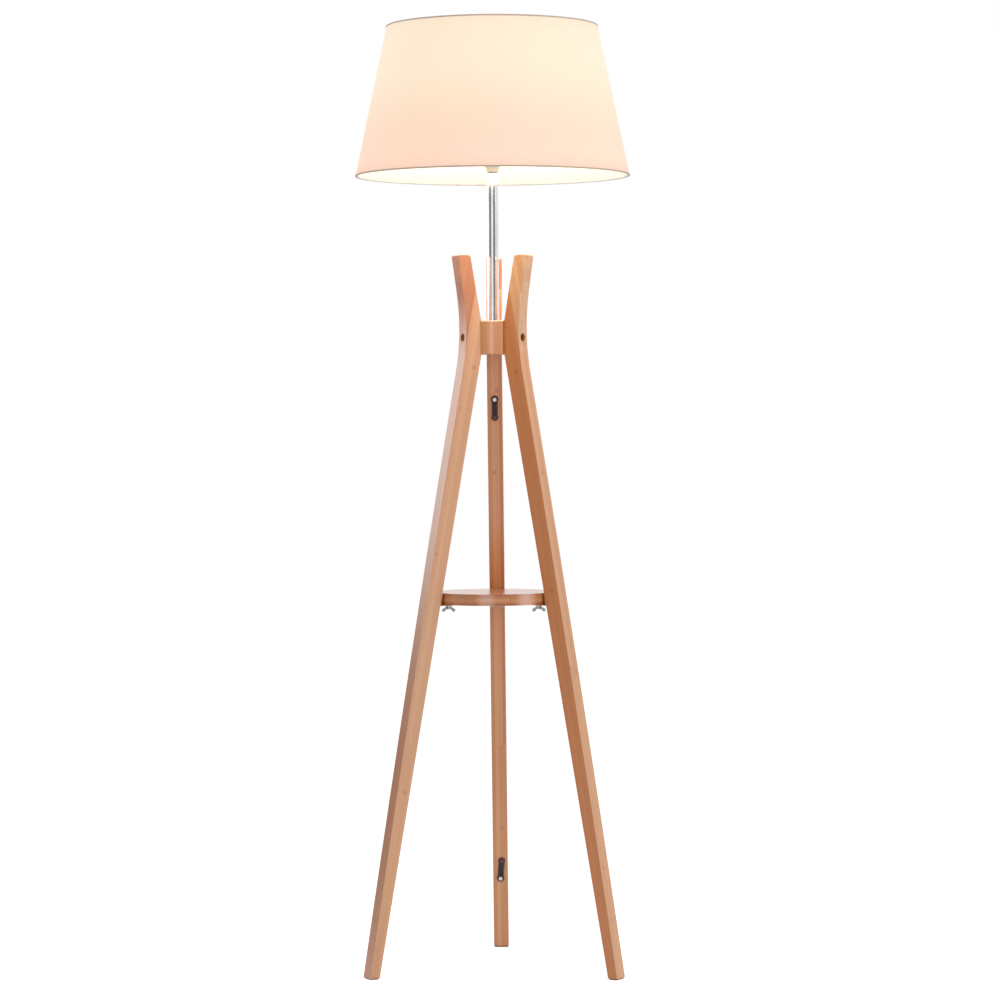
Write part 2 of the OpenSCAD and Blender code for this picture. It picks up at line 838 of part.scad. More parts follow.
// The glass: a neck that widens smoothly into a sphere
module bulb_outline() {
    top_z = bulb_z + bulb_h;
    ball_z = top_z - bulb_r;
    meet = bulb_neck_angle;
    meet_r = bulb_r * cos(meet);
    meet_z = ball_z - bulb_r * sin(meet);
    polygon(concat(
        [[0, bulb_glass_z], [bulb_neck_r, bulb_glass_z]],
        [for (i = [1 : 10]) let (t = i / 10, s = t * t * (3 - 2 * t))
            [
                bulb_neck_r + (meet_r - bulb_neck_r) * (0.55 * s + 0.45 * t),
                bulb_glass_z + (meet_z - bulb_glass_z) * t
            ]],
        [for (i = [1 : 20]) let (a = -meet + i * (90 + meet) / 20)
            [bulb_r * cos(a), ball_z + bulb_r * sin(a)]]
    ));
}

module bulb_glass() {
    color([0.98, 0.96, 0.88])
        rotate_extrude()
            bulb_outline();
}

module bulb_cap() {
    color(ZINC)
        translate([0, 0, bulb_z + bulb_tip_h])
            cylinder(r = bulb_cap_r, h = bulb_cap_h);
}

module bulb_tip() {
    color(DARK_STEEL)
        translate([0, 0, bulb_z])
            cylinder(r1 = bulb_tip_r, r2 = bulb_foot_r, h = bulb_tip_h);
}

// ---- Shade ----

module wire_ring(z, r) {
    translate([0, 0, z])
        rotate_extrude()
            translate([r, 0])
                circle(r = wire_r, $fn = 32);
}

module shade_fitter() {
    color("white")
        tube(fitter_z, fitter_t, fitter_r, skirt_r + curve_gap);
}

// The arms end against the fitter ring's rim, where they are welded on
module shade_frame() {
    color("white") {
        wire_ring(low_ring_z, low_ring_r);
        for (a = [left_angle, right_angle, rear_angle])
            rotate([0, 0, a + shade_turn]) {
                bend = [arm_bend_r, 0, arm_z];
                bar([fitter_r, 0, arm_z], bend, arm_r);
                bar(bend, [low_ring_r, 0, low_ring_z], arm_r);
                translate(bend)
                    sphere(r = arm_r + bend_bead, $fn = 32);
            }
    }
}

module shade_top_ring() {
    color("white")
        wire_ring(top_ring_z, top_ring_r);
}

module shade_fabric() {
    color([0.97, 0.88, 0.76])
        translate([0, 0, shade_z])
            rotate_extrude()
                polygon([
                    [shade_low_r - fabric_across, 0], [shade_low_r, 0],
                    [shade_top_r, shade_h], [shade_top_r - fabric_across, shade_h]
                ]);
}

leg(left_angle);  // leg_left
leg(right_angle);  // leg_right
rear_leg();  // leg_rear
foot_pad(left_angle);  // foot_pad_left
foot_pad(right_angle);  // foot_pad_right
foot_pad(rear_angle);  // foot_pad_rear
hub();
leg_bolt(left_angle);  // leg_bolt_left
leg_bolt(right_angle);  // leg_bolt_right
leg_bolt(rear_angle);  // leg_bolt_rear
leg_washer(left_angle);  // leg_washer_left
leg_washer(right_angle);  // leg_washer_right
leg_washer(rear_angle);  // leg_washer_rear
hub_insert(left_angle);  // hub_insert_left
hub_insert(right_angle);  // hub_insert_right
hub_insert(rear_angle);  // hub_insert_rear
shelf();
shelf_bracket(left_angle);  // shelf_bracket_left
shelf_bracket(right_angle);  // shelf_bracket_right
shelf_bracket(rear_angle);  // shelf_bracket_rear
bracket_screws(left_angle);  // bracket_screws_left
bracket_screws(right_angle);  // bracket_screws_right
bracket_screws(rear_angle);  // bracket_screws_rear
shelf_stud(left_angle);  // shelf_stud_left
shelf_stud(right_angle);  // shelf_stud_right
shelf_stud(rear_angle);  // shelf_stud_rear
stud_washer(left_angle);  // stud_washer_left
stud_washer(right_angle);  // stud_washer_right
stud_washer(rear_angle);  // stud_washer_rear
wing_nut(left_angle);  // wing_nut_left
wing_nut(right_angle);  // wing_nut_right
wing_nut(rear_angle);  // wing_nut_rear
cord_strap(strap_up_z, 0);  // cord_strap_upper
cord_strap(strap_low_z, 180 - strap_lean);  // cord_strap_lower
strap_screw(strap_up_z);  // strap_screw_upper
strap_screw(strap_low_z);  // strap_screw_lower
stem_tube();
stem_bush(stem_low_z);  // stem_bush_lower
stem_bush(stem_top_z - bush_len);  // stem_bush_upper
stem_nipple();
stem_nut();
stem_washer();
cord_bushing();
holder_nipple();
holder_cap();
holder_skirt();
porcelain_insert();
screw_shell();
centre_contact();
clamp_ring();
bulb_glass();
bulb_cap();
bulb_tip();
shade_fitter();
shade_frame();
shade_top_ring();
shade_fabric();
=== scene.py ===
"""The looks of the tripod floor lamp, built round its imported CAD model."""

import json
import math

import bmesh
import bpy
from mathutils import Matrix, Vector


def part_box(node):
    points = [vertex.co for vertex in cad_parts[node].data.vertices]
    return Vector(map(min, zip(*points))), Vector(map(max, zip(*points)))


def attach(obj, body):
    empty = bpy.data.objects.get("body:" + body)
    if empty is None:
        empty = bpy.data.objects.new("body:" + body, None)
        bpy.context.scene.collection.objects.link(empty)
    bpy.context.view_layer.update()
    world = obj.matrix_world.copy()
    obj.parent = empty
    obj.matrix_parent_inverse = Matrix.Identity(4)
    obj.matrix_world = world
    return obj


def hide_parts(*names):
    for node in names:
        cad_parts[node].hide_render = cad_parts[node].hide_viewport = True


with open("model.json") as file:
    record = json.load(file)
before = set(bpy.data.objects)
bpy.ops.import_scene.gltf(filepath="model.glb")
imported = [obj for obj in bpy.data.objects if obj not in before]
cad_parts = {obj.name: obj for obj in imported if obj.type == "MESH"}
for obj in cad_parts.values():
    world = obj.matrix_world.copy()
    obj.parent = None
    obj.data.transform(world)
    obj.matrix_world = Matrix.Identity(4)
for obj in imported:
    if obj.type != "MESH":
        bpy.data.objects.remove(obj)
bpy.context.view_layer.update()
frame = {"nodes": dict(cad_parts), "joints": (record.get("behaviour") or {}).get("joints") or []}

scene = bpy.context.scene
nodes = frame["nodes"]
SIDES = {"left": 210.0, "right": 330.0, "rear": 90.0}


def srgb(r, g, b):
    """Linear colour of an 8-bit sRGB one."""
    out = []
    for c in (r, g, b):
        c /= 255.0
        out.append(c / 12.92 if c <= 0.04045 else ((c + 0.055) / 1.055) ** 2.4)
    return (*out, 1.0)


# ---------------------------------------------------------------- camera

# From the perspective fit to the photograph: level, and a little to the right of the front
CAM_TURN = math.radians(2.21)
CAM_FAR = 5.632
CAM_HEIGHT = 0.902
CAM_ROLL = math.radians(-0.29)
cam_data = bpy.data.cameras.new("camera")
cam_data.sensor_width = 36.0
cam_data.lens = 123.4
cam_data.shift_x = 0.0062
cam_data.shift_y = -0.0814
cam_data.clip_end = 60.0
camera = bpy.data.objects.new("camera", cam_data)
scene.collection.objects.link(camera)
camera.matrix_world = (
    Matrix.Translation((CAM_FAR * math.sin(CAM_TURN), -CAM_FAR * math.cos(CAM_TURN), CAM_HEIGHT))
    @ Matrix.Rotation(CAM_TURN, 4, "Z")
    @ Matrix.Rotation(math.radians(90), 4, "X")
    @ Matrix.Rotation(CAM_ROLL, 4, "Z")
)
scene.camera = camera


# ---------------------------------------------------------------- nodes

class Graph:
    """A short way to write shader nodes: each call makes a node and returns its first output."""

    def __init__(self, tree):
        self.tree = tree

    def make(self, kind, inputs=None, **props):
        """Makes a node. inputs are values or sockets by index or name."""
        n = self.tree.nodes.new(kind)
        for k, v in props.items():
            setattr(n, k, v)
        for k, v in (inputs or {}).items():
            if isinstance(v, bpy.types.NodeSocket):
                self.tree.links.new(v, n.inputs[k])
            else:
                n.inputs[k].default_value = v
        return n

    def math(self, op, a, b=0.0, c=0.0, clamp=False):
        return self.make("ShaderNodeMath", {0: a, 1: b, 2: c}, operation=op, use_clamp=clamp).outputs[0]

    def ramp(self, value, a, b, lo=0.0, hi=1.0):
        """Smooth step from lo at a to hi at b."""
        return self.make(
            "ShaderNodeMapRange", {0: value, 1: a, 2: b, 3: lo, 4: hi}, interpolation_type="SMOOTHSTEP"
        ).outputs[0]

    def line(self, value, a, b, lo=0.0, hi=1.0):
        """Straight slope from lo at a to hi at b, level beyond them."""
        return self.make("ShaderNodeMapRange", {0: value, 1: a, 2: b, 3: lo, 4: hi}).outputs[0]

    def mix(self, fac, a, b, blend="MIX"):
        n = self.make("ShaderNodeMix", data_type="RGBA", blend_type=blend)
        for k, v in ((0, fac), (6, a), (7, b)):
            if isinstance(v, bpy.types.NodeSocket):
                self.tree.links.new(v, n.inputs[k])
            else:
                n.inputs[k].default_value = v
        return n.outputs[2]

    def vec(self, x, y, z):
        return self.make("ShaderNodeCombineXYZ", {0: x, 1: y, 2: z}).outputs[0]

    def split(self, v):
        n = self.make("ShaderNodeSeparateXYZ", {0: v})
        return n.outputs[0], n.outputs[1], n.outputs[2]

    def scale(self, v, s):
        return self.make("ShaderNodeVectorMath", {0: v, 1: s}, operation="MULTIPLY").outputs[0]

    def turn(self, v, axis, angle):
        return self.make(
            "ShaderNodeVectorRotate", {"Vector": v, "Angle": angle}, rotation_type=axis + "_AXIS"
        ).outputs[0]

    def noise(self, v, scale=1.0, detail=2.0, rough=0.5):
        return self.make(
            "ShaderNodeTexNoise", {"Vector": v, "Scale": scale, "Detail": detail, "Roughness": rough}
        ).outputs[0]

    def white(self, v):
        return self.make("ShaderNodeTexWhiteNoise", {"Vector": v}, noise_dimensions="3D").outputs

    def object_coords(self):
        return self.make("ShaderNodeTexCoord").outputs["Object"]

    def bump(self, height, distance, strength=1.0):
        """distance is the depth in metres that a height of 1 stands for."""
        inputs = {"Height": height, "Distance": distance, "Strength": strength}
        return self.make("ShaderNodeBump", inputs).outputs[0]


def material(name):
    """A new material: its graph and its Principled shader."""
    m = bpy.data.materials.new(name)
    m.use_nodes = True
    m.node_tree.nodes.clear()
    g = Graph(m.node_tree)
    bsdf = g.make("ShaderNodeBsdfPrincipled")
    out = g.make("ShaderNodeOutputMaterial")
    m.node_tree.links.new(bsdf.outputs[0], out.inputs[0])
    return m, g, bsdf


def feed(g, bsdf, **inputs):
    """Sets the shader's sockets by name, with _ for a space."""
    for k, v in inputs.items():
        socket = bsdf.inputs[k.replace("_", " ")]
        if isinstance(v, bpy.types.NodeSocket):
            g.tree.links.new(v, socket)
        else:
            socket.default_value = v


def set_stops(ramp, stops):
    """Gives a colour ramp its stops, as (position, colour)."""
    while len(ramp.elements) < len(stops):
        ramp.elements.new(0.5)
    for element, (position, colour) in zip(ramp.elements, stops):
        element.position, element.color = position, colour


# ---------------------------------------------------------------- materials

# painted highlight for the pale part of an eased wood edge, and painted shade for the rest of it
EDGE_HIGHLIGHT = srgb(255, 222, 186)
EDGE_SHADE = srgb(132, 88, 58)


def bamboo(name, light, dark, turn_z=0.0, lean=0.0, along="Z", origin=(0.0, 0.0), pitch=(6.26, 6.5),
           seed=0.0, spacing=0.28, second=None, seam_w=None, roughness=0.42, coat=1.0, coat_roughness=0.26,
           spread=0.34, plies=None, outward_tone=None, inner=None, stripes=(), arris=None):
    """Laminated bamboo. Strips run along the piece; their cross-section is pitch mm in its two other axes.

    w and t are the places across the strips, and s the place along them, in metres. turn_z, in degrees, and
    lean, in radians, bring the piece's own axes to them. light and dark are the strips' two ends of tone and
    spread is how much strips differ. spacing is the distance between bamboo nodes on one strip.
    outward_tone: colour of the first board's outward face, which holds painted light and shade besides the wood's
    tone.
    inner: colour of the inward face above a height along the leg, and that height.
    plies: w at both faces of a board, and levels of darkness between them.
    stripes: pale and dark bands of painted highlight and painted shade (axis, from, to, softness, colour, amount).
    arris(g, w, t, s) says where an eased edge gets a painted highlight; elsewhere on it painted shade darkens the
    wood."""
    m, g, bsdf = material(name)
    v = g.object_coords()
    if turn_z:
        v = g.turn(v, "Z", math.radians(-turn_z))
    if lean:
        v = g.turn(v, "Y", lean)
    if along == "X":
        v = g.turn(v, "Y", math.radians(-90))
    wobble = g.noise(g.scale(v, (6.0, 6.0, 1.6)), 1.0, 1.0)
    w, t, s = g.split(v)
    w_rel = g.math("SUBTRACT", w, origin[0])
    t_rel = g.math("SUBTRACT", t, origin[1])
    wob = g.math("MULTIPLY_ADD", wobble, 0.10, -0.05)
    w_strip = g.math("ADD", g.math("MULTIPLY", w_rel, 1000.0 / pitch[0]), wob)
    t_strip = g.math("ADD", g.math("MULTIPLY", t_rel, 1000.0 / pitch[1]), wob)
    wi, ti = g.math("FLOOR", w_strip), g.math("FLOOR", t_strip)
    cell = g.white(g.vec(wi, ti, seed))
    tone = cell[0]
    hue = g.make("ShaderNodeSeparateColor", {0: cell[1]}).outputs[1]
    # bamboo's nodes: a short dark band across one strip, now and then
    q = g.math("MULTIPLY_ADD", s, 1.0 / spacing, g.math("MULTIPLY", tone, 9.0))
    qi = g.math("FLOOR", q)
    spot = g.white(g.vec(g.math("ADD", wi, g.math("MULTIPLY", ti, 7.0)), qi, seed + 3.0))
    rnd = g.make("ShaderNodeSeparateColor", {0: spot[1]}).outputs
    at = g.math("MULTIPLY_ADD", rnd[0], 0.7, 0.15)
    grain = g.noise(g.scale(v, (520.0, 520.0, 5.0)), 1.0, 3.0, 0.6)
    dist = g.math("ABSOLUTE", g.math("SUBTRACT", g.math("FRACT", q), at))
    dist = g.math("ADD", g.math("MULTIPLY", dist, spacing), g.math("MULTIPLY_ADD", grain, 0.006, -0.003))
    mark = g.math("MULTIPLY", g.ramp(dist, 0.0050, 0.0010), g.ramp(rnd[1], 0.45, 0.95, 0.0, 1.0))
    # fine fibres, wider streaks and slow change of tone
    streak = g.noise(g.scale(v, (160.0, 160.0, 1.7)), 1.0, 2.0, 0.6)
    broad = g.noise(g.scale(v, (16.0, 16.0, 2.2)), 1.0, 1.0)
    f = g.math("MULTIPLY_ADD", tone, spread, 0.05 - spread / 2)
    f = g.math("MULTIPLY_ADD", grain, 0.30, f)
    f = g.math("MULTIPLY_ADD", streak, 0.34, f)
    f = g.math("MULTIPLY_ADD", broad, 0.26, f)
    if plies:
        ply = g.make("ShaderNodeValToRGB", {0: g.line(w, plies[0], plies[1])})
        set_stops(ply.color_ramp, [(at_z, (level, level, level, 1)) for at_z, level in plies[2]])
        darkness = g.make("ShaderNodeSeparateColor", {0: ply.outputs[0]}).outputs[0]
        f = g.math("ADD", f, g.math("SUBTRACT", darkness, 0.5))
    f = g.math("ADD", f, 0.0, clamp=True)
    col = g.mix(f, light, dark)
    if outward_tone is not None:
        # the first board's outward face, in its own tone, which holds painted light and shade
        normal = g.turn(g.make("ShaderNodeTexCoord").outputs["Normal"], "Z", math.radians(-turn_z))
        outward = g.ramp(g.split(normal)[0], 0.80, 0.95)
        col = g.mix(g.math("MULTIPLY", outward, g.math("MULTIPLY_ADD", f, -0.45, 1.0)), col, outward_tone)
    if second is not None:
        other = g.mix(f, second[0], second[1])
        side = g.ramp(w, seam_w - 0.0003, seam_w + 0.0003)
        col = g.mix(side, col, other)
    if inner is not None:
        normal = g.turn(g.make("ShaderNodeTexCoord").outputs["Normal"], "Z", math.radians(-turn_z))
        above_waist = g.ramp(s, inner[1], inner[1] + 0.02)
        facing_in = g.ramp(g.split(normal)[0], -0.80, -0.95, 0.0, 0.8)
        col = g.mix(g.math("MULTIPLY", facing_in, above_waist), col, inner[0])
    for axis, lo, hi, soft, colour, amount in stripes:
        place = {"w": w, "s": s}[axis]
        band = g.math("MULTIPLY", g.ramp(place, lo - soft, lo + soft), g.ramp(place, hi + soft, hi - soft))
        if axis == "s":
            # a band along the piece shows on upright faces alone
            up = g.math("ABSOLUTE", g.split(g.make("ShaderNodeTexCoord").outputs["Normal"])[2])
            band = g.math("MULTIPLY", band, g.ramp(up, 0.6, 0.2))
        col = g.mix(g.math("MULTIPLY", band, amount), col, colour)
    col = g.mix(g.ramp(hue, 0.45, 1.0, 0.0, 0.30), col, (dark[0] * 1.02, dark[1] * 0.80, dark[2] * 0.86, 1))
    # glue lines between strips
    gw = g.math("ABSOLUTE", g.math("SUBTRACT", g.math("FRACT", w_strip), 0.5))
    gt = g.math("ABSOLUTE", g.math("SUBTRACT", g.math("FRACT", t_strip), 0.5))
    glue = g.ramp(g.math("MAXIMUM", gw, gt), 0.475, 0.497)
    col = g.mix(g.math("MULTIPLY", glue, 0.16), col, (dark[0] * 0.45, dark[1] * 0.38, dark[2] * 0.34, 1))
    col = g.mix(g.math("MULTIPLY", mark, 0.45), col, (dark[0] * 0.66, dark[1] * 0.54, dark[2] * 0.46, 1))
    if arris:
        # painted highlight on the edge faces where arris says, painted shade on the rest of them
        pale = arris(g, w, t, s)
        col = g.mix(g.math("MULTIPLY", pale, 0.95), col, EDGE_HIGHLIGHT)
        col = g.mix(g.math("MULTIPLY", g.math("SUBTRACT", 1.0, pale), 0.45), col, EDGE_SHADE)
    height = g.math("ADD", g.math("MULTIPLY", grain, 0.6), g.math("MULTIPLY", mark, 0.7))
    height = g.math("SUBTRACT", height, g.math("MULTIPLY", glue, 0.5))
    feed(g, bsdf, Base_Color=col,
         Roughness=g.math("MULTIPLY_ADD", grain, 0.16, roughness - 0.08),
         Normal=g.bump(height, 0.00006))
    bsdf.inputs["Coat Weight"].default_value = coat
    bsdf.inputs["Coat Roughness"].default_value = coat_roughness
    bsdf.inputs["IOR"].default_value = 1.5
    return m


def metal(name, colour, roughness, brush=0.0, patch=0.05):
    """Bare or plated metal. Smudges change its roughness by patch, and a fine texture by brush."""
    m, g, bsdf = material(name)
    v = g.object_coords()
    smudge = g.noise(v, 45.0, 4.0, 0.6)
    fine = g.noise(v, 900.0, 2.0, 0.5)
    rough = g.math("MULTIPLY_ADD", smudge, patch, roughness - patch / 2)
    rough = g.math("MULTIPLY_ADD", fine, brush, rough)
    dark = tuple(c * 0.88 for c in colour[:3]) + (1.0,)
    feed(g, bsdf, Base_Color=g.mix(g.ramp(smudge, 0.35, 0.7), colour, dark), Roughness=rough,
         Normal=g.bump(fine, 0.00002, 0.3 + brush))
    bsdf.inputs["Metallic"].default_value = 1.0
    return m


def plastic(name, colour, roughness, spread=0.06, grain=700.0, coat=0.0):
    """Moulded or painted skin with a fine texture."""
    m, g, bsdf = material(name)
    v = g.object_coords()
    fine = g.noise(v, grain, 3.0, 0.6)
    cloud = g.noise(v, 30.0, 3.0, 0.55)
    shade = tuple(c * 0.86 for c in colour[:3]) + (1.0,)
    feed(g, bsdf, Base_Color=g.mix(g.ramp(cloud, 0.3, 0.75), colour, shade),
         Roughness=g.math("MULTIPLY_ADD", fine, spread, roughness - spread / 2),
         Normal=g.bump(fine, 0.00003, 0.5))
    bsdf.inputs["Coat Weight"].default_value = coat
    return m


def felt(name, colour):
    """Pressed felt: short fibres in loose clumps."""
    m, g, bsdf = material(name)
    v = g.object_coords()
    fibre = g.noise(v, 1400.0, 5.0, 0.7)
    clump = g.noise(v, 260.0, 3.0, 0.6)
    pale = tuple(min(1.0, c * 1.7) for c in colour[:3]) + (1.0,)
    feed(g, bsdf, Base_Color=g.mix(g.ramp(fibre, 0.35, 0.8), colour, pale),
         Normal=g.bump(g.math("ADD", fibre, clump), 0.0003, 0.8))
    bsdf.inputs["Roughness"].default_value = 0.95
    bsdf.inputs["Sheen Weight"].default_value = 0.3
    return m


SHADE_LOW, SHADE_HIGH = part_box("shade_fabric")[0].z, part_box("shade_fabric")[1].z
SHADE_LOW_R = (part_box("shade_fabric")[1].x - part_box("shade_fabric")[0].x) / 2
TOP_R = max(math.hypot(p.co.x, p.co.y) for p in nodes["shade_fabric"].data.vertices
            if p.co.z > SHADE_HIGH - 0.001)
THREADS_ROUND = 2200.0  # warp threads round the shade
WEFT_PITCH = 0.00058  # metres
SEAM_AT = math.radians(90)  # the cloth's overlap is at the back
SEAM_HALF = 0.032  # radians
# the light that comes through the cloth, from the lower rim to the upper one
GLOW_STOPS = [(0.0, (0.90, 0.60, 0.465, 1)), (0.30, (0.80, 0.56, 0.415, 1)), (0.62, (0.81, 0.725, 0.53, 1)),
              (0.84, (0.82, 0.71, 0.53, 1)), (1.0, (0.83, 0.69, 0.52, 1))]


def shade_cloth():
    """Plain weave stretched on a lining and lit from inside: paler above the bulb, pinker towards the lower rim."""
    m, g, bsdf = material("shade_cloth")
    v = g.object_coords()
    x, y, z = g.split(v)
    angle = g.math("ARCTAN2", y, x)
    warp = g.math("MULTIPLY", angle, THREADS_ROUND / (2 * math.pi))
    weft = g.math("MULTIPLY", z, 1.0 / WEFT_PITCH)
    warp_round = g.math("ABSOLUTE", g.math("SINE", g.math("MULTIPLY", warp, math.pi)))
    weft_round = g.math("ABSOLUTE", g.math("SINE", g.math("MULTIPLY", weft, math.pi)))
    # 1 where the warp lies on top; the large even number keeps the count above 0
    square = g.math("ADD", g.math("FLOOR", g.math("ADD", warp, 3000.0)), g.math("FLOOR", weft))
    over = g.math("MODULO", square, 2.0)
    thread = g.math("ADD", g.math("MULTIPLY", warp_round, over),
                    g.math("MULTIPLY", weft_round, g.math("SUBTRACT", 1.0, over)))
    slub_w = g.noise(g.vec(g.math("MULTIPLY", angle, 300.0), g.math("MULTIPLY", z, 12.0), 0.0), 1.0, 2.0, 0.6)
    slub_h = g.noise(g.vec(g.math("MULTIPLY", angle, 5.0), g.math("MULTIPLY", z, 1500.0), 4.0), 1.0, 2.0, 0.6)
    slub = g.math("MULTIPLY", g.math("ADD", slub_w, slub_h), 0.5)
    cloud = g.noise(v, 9.0, 2.0, 0.5)
    up = g.line(z, SHADE_LOW, SHADE_HIGH)
    glow = g.make("ShaderNodeValToRGB", {0: up})
    glow.color_ramp.interpolation = "B_SPLINE"
    set_stops(glow.color_ramp, GLOW_STOPS)
    texture = g.math("ADD", g.math("MULTIPLY", thread, 0.05), g.math("MULTIPLY", slub, 0.10))
    dim = g.math("MULTIPLY_ADD", cloud, -0.04, g.math("SUBTRACT", 0.97, texture))
    # the overlap of the cloth at the back lets less light through
    back = g.math("ABSOLUTE", g.math("SUBTRACT", angle, SEAM_AT))
    dim = g.math("SUBTRACT", dim, g.ramp(back, SEAM_HALF + 0.004, SEAM_HALF - 0.001, 0.0, 0.16))
    light = g.mix(1.0, glow.outputs[0], g.make("ShaderNodeCombineColor", {0: dim, 1: dim, 2: dim}).outputs[0],
                  "MULTIPLY")
    base = g.mix(g.math("MULTIPLY", texture, 1.4), srgb(186, 164, 150), srgb(158, 136, 122))
    feed(g, bsdf, Base_Color=base, Emission_Color=light,
         Normal=g.bump(g.math("ADD", thread, g.math("MULTIPLY", slub, 0.8)), 0.00012, 0.7))
    bsdf.inputs["Emission Strength"].default_value = 1.0
    bsdf.inputs["Roughness"].default_value = 0.85
    bsdf.inputs["Sheen Weight"].default_value = 0.12
    return m


def shade_lining():
    """The shade's smooth inner skin, bright with the bulb's light."""
    m, g, bsdf = material("shade_lining")
    v = g.object_coords()
    cloud = g.noise(v, 14.0, 3.0, 0.5)
    fine = g.noise(v, 900.0, 2.0, 0.5)
    feed(g, bsdf, Base_Color=g.mix(cloud, srgb(250, 244, 222), srgb(246, 238, 212)),
         Emission_Color=g.mix(cloud, (0.52, 0.52, 0.49, 1), (0.48, 0.48, 0.45, 1)),
         Normal=g.bump(fine, 0.00004, 0.4))
    bsdf.inputs["Emission Strength"].default_value = 0.8
    bsdf.inputs["Roughness"].default_value = 0.55
    return m


def hem_cloth():
    """The rolled edge of the shade: folded cloth that the light doesn't pass."""
    m, g, bsdf = material("shade_hem")
    v = g.object_coords()
    x, y, z = g.split(v)
    angle = g.math("ARCTAN2", y, x)
    thread = g.math("ABSOLUTE", g.math("SINE", g.math("MULTIPLY", angle, 1100.0)))
    slub = g.noise(g.vec(g.math("MULTIPLY", angle, 160.0), g.math("MULTIPLY", z, 60.0), 1.0), 1.0, 2.0, 0.6)
    col = g.mix(g.math("MULTIPLY_ADD", slub, 0.6, g.math("MULTIPLY", thread, 0.2)), srgb(232, 210, 194),
                srgb(198, 176, 162))
    feed(g, bsdf, Base_Color=col, Normal=g.bump(g.math("ADD", thread, slub), 0.00015, 0.8))
    bsdf.inputs["Roughness"].default_value = 0.85
    return m


def bulb_opal():
    """The bulb's white glass, lit."""
    m, g, bsdf = material("bulb_opal")
    v = g.object_coords()
    cloud = g.noise(v, 25.0, 2.0, 0.5)
    feed(g, bsdf, Base_Color=g.mix(cloud, srgb(255, 250, 236), srgb(250, 240, 220)),
         Emission_Color=g.mix(cloud, srgb(255, 236, 200), srgb(255, 226, 180)),
         Roughness=g.math("MULTIPLY_ADD", cloud, 0.1, 0.25))
    bsdf.inputs["Emission Strength"].default_value = 4.0
    return m


# ---------------------------------------------------------------- meshes

WELD_WITHIN = 0.00001  # metres: closes the seams between the CAD mesh's faces
EDGE_FROM = math.radians(30)  # the bend from which an edge is rounded


def mesh_object(name, bm, mats, smooth=True):
    """An object made from bm, with its faces turned outwards."""
    me = bpy.data.meshes.new(name)
    bmesh.ops.recalc_face_normals(bm, faces=bm.faces)
    bm.to_mesh(me)
    bm.free()
    for m in mats:
        me.materials.append(m)
    for p in me.polygons:
        p.use_smooth = smooth
    ob = bpy.data.objects.new(name, me)
    scene.collection.objects.link(ob)
    return ob


def lathe(profile, steps, wave=None):
    """A closed band turned about Z from a closed profile of (r, z), and its faces as (k, face), with k the
    place in the profile. wave(angle, k) is added to a point's radius."""
    bm = bmesh.new()
    rings = []
    for i in range(steps):
        a = 2 * math.pi * i / steps
        ring = []
        for k, (r, z) in enumerate(profile):
            rr = r + (wave(a, k) if wave else 0.0)
            ring.append(bm.verts.new((rr * math.cos(a), rr * math.sin(a), z)))
        rings.append(ring)
    n = len(profile)
    faces = []
    for i in range(steps):
        r0, r1 = rings[i], rings[(i + 1) % steps]
        for k in range(n):
            f = bm.faces.new((r0[k], r1[k], r1[(k + 1) % n], r0[(k + 1) % n]))
            faces.append((k, f))
    return bm, faces


def ease(ob, width, segments=2, edge_slot=-1):
    """Rounds a CAD node's edges with modifiers, leaving its mesh as it is. Faces of the rounding get the
    material in edge_slot, where one is given."""
    weld = ob.modifiers.new("weld", "WELD")
    weld.merge_threshold = WELD_WITHIN
    bevel = ob.modifiers.new("bevel", "BEVEL")
    bevel.width = width
    bevel.segments = segments
    bevel.limit_method = "ANGLE"
    bevel.angle_limit = EDGE_FROM
    bevel.use_clamp_overlap = True
    bevel.harden_normals = False
    bevel.material = edge_slot
    for p in ob.data.polygons:
        p.use_smooth = True
    normals = ob.modifiers.new("normals", "WEIGHTED_NORMAL")
    normals.keep_sharp = False
    normals.weight = 60


def dress(name, mat):
    """Gives a CAD node its material."""
    ob = nodes[name]
    ob.data.materials.clear()
    ob.data.materials.append(mat)
    return ob


# ---------------------------------------------------------------- wood

leg_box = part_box("leg_rear")
# The lower arm's lean, from the strap screws' joints on the rear leg's inner face
joints = {j["name"]: j for j in frame["joints"]}
swivel = joints["strap_upper_swivel"]
LEAN = math.asin(-swivel["axis"][2])
FACE = swivel["pos_m"]
W_IN = FACE[1] * math.cos(LEAN) + FACE[2] * math.sin(LEAN)
BOARD = 0.030  # metres: depth of the first board
HALF_T = (leg_box[1].x - leg_box[0].x) / 2
# for each leg: light and dark tone of the first board, the same of the second one, the tone of the first board's
# outward face, the side whose outer corner edge gets a painted highlight (1 or -1; 0 is none), and how much the
# strips differ. The tones also paint light and shade: the left leg's first board, whose seen side faces the key
# light, is paler than the right leg's, and the outward face is darker on the left leg, turned from the key, and
# paler on the right leg, turned towards it
LEG_WOOD = {
    "left": (srgb(241, 183, 134), srgb(206, 143, 97), srgb(208, 131, 75), srgb(172, 93, 43),
             srgb(184, 121, 80), 1.0, 0.34),
    "right": (srgb(222, 140, 70), srgb(190, 107, 42), srgb(230, 176, 124), srgb(205, 149, 103),
              srgb(222, 161, 106), -1.0, 0.34),
    "rear": (srgb(250, 188, 130), srgb(198, 122, 70), srgb(206, 128, 84), srgb(170, 96, 56),
             srgb(220, 158, 106), 0.0, 0.62),
}
INNER_FACE = srgb(222, 192, 166)  # the front legs' inward faces above the waist
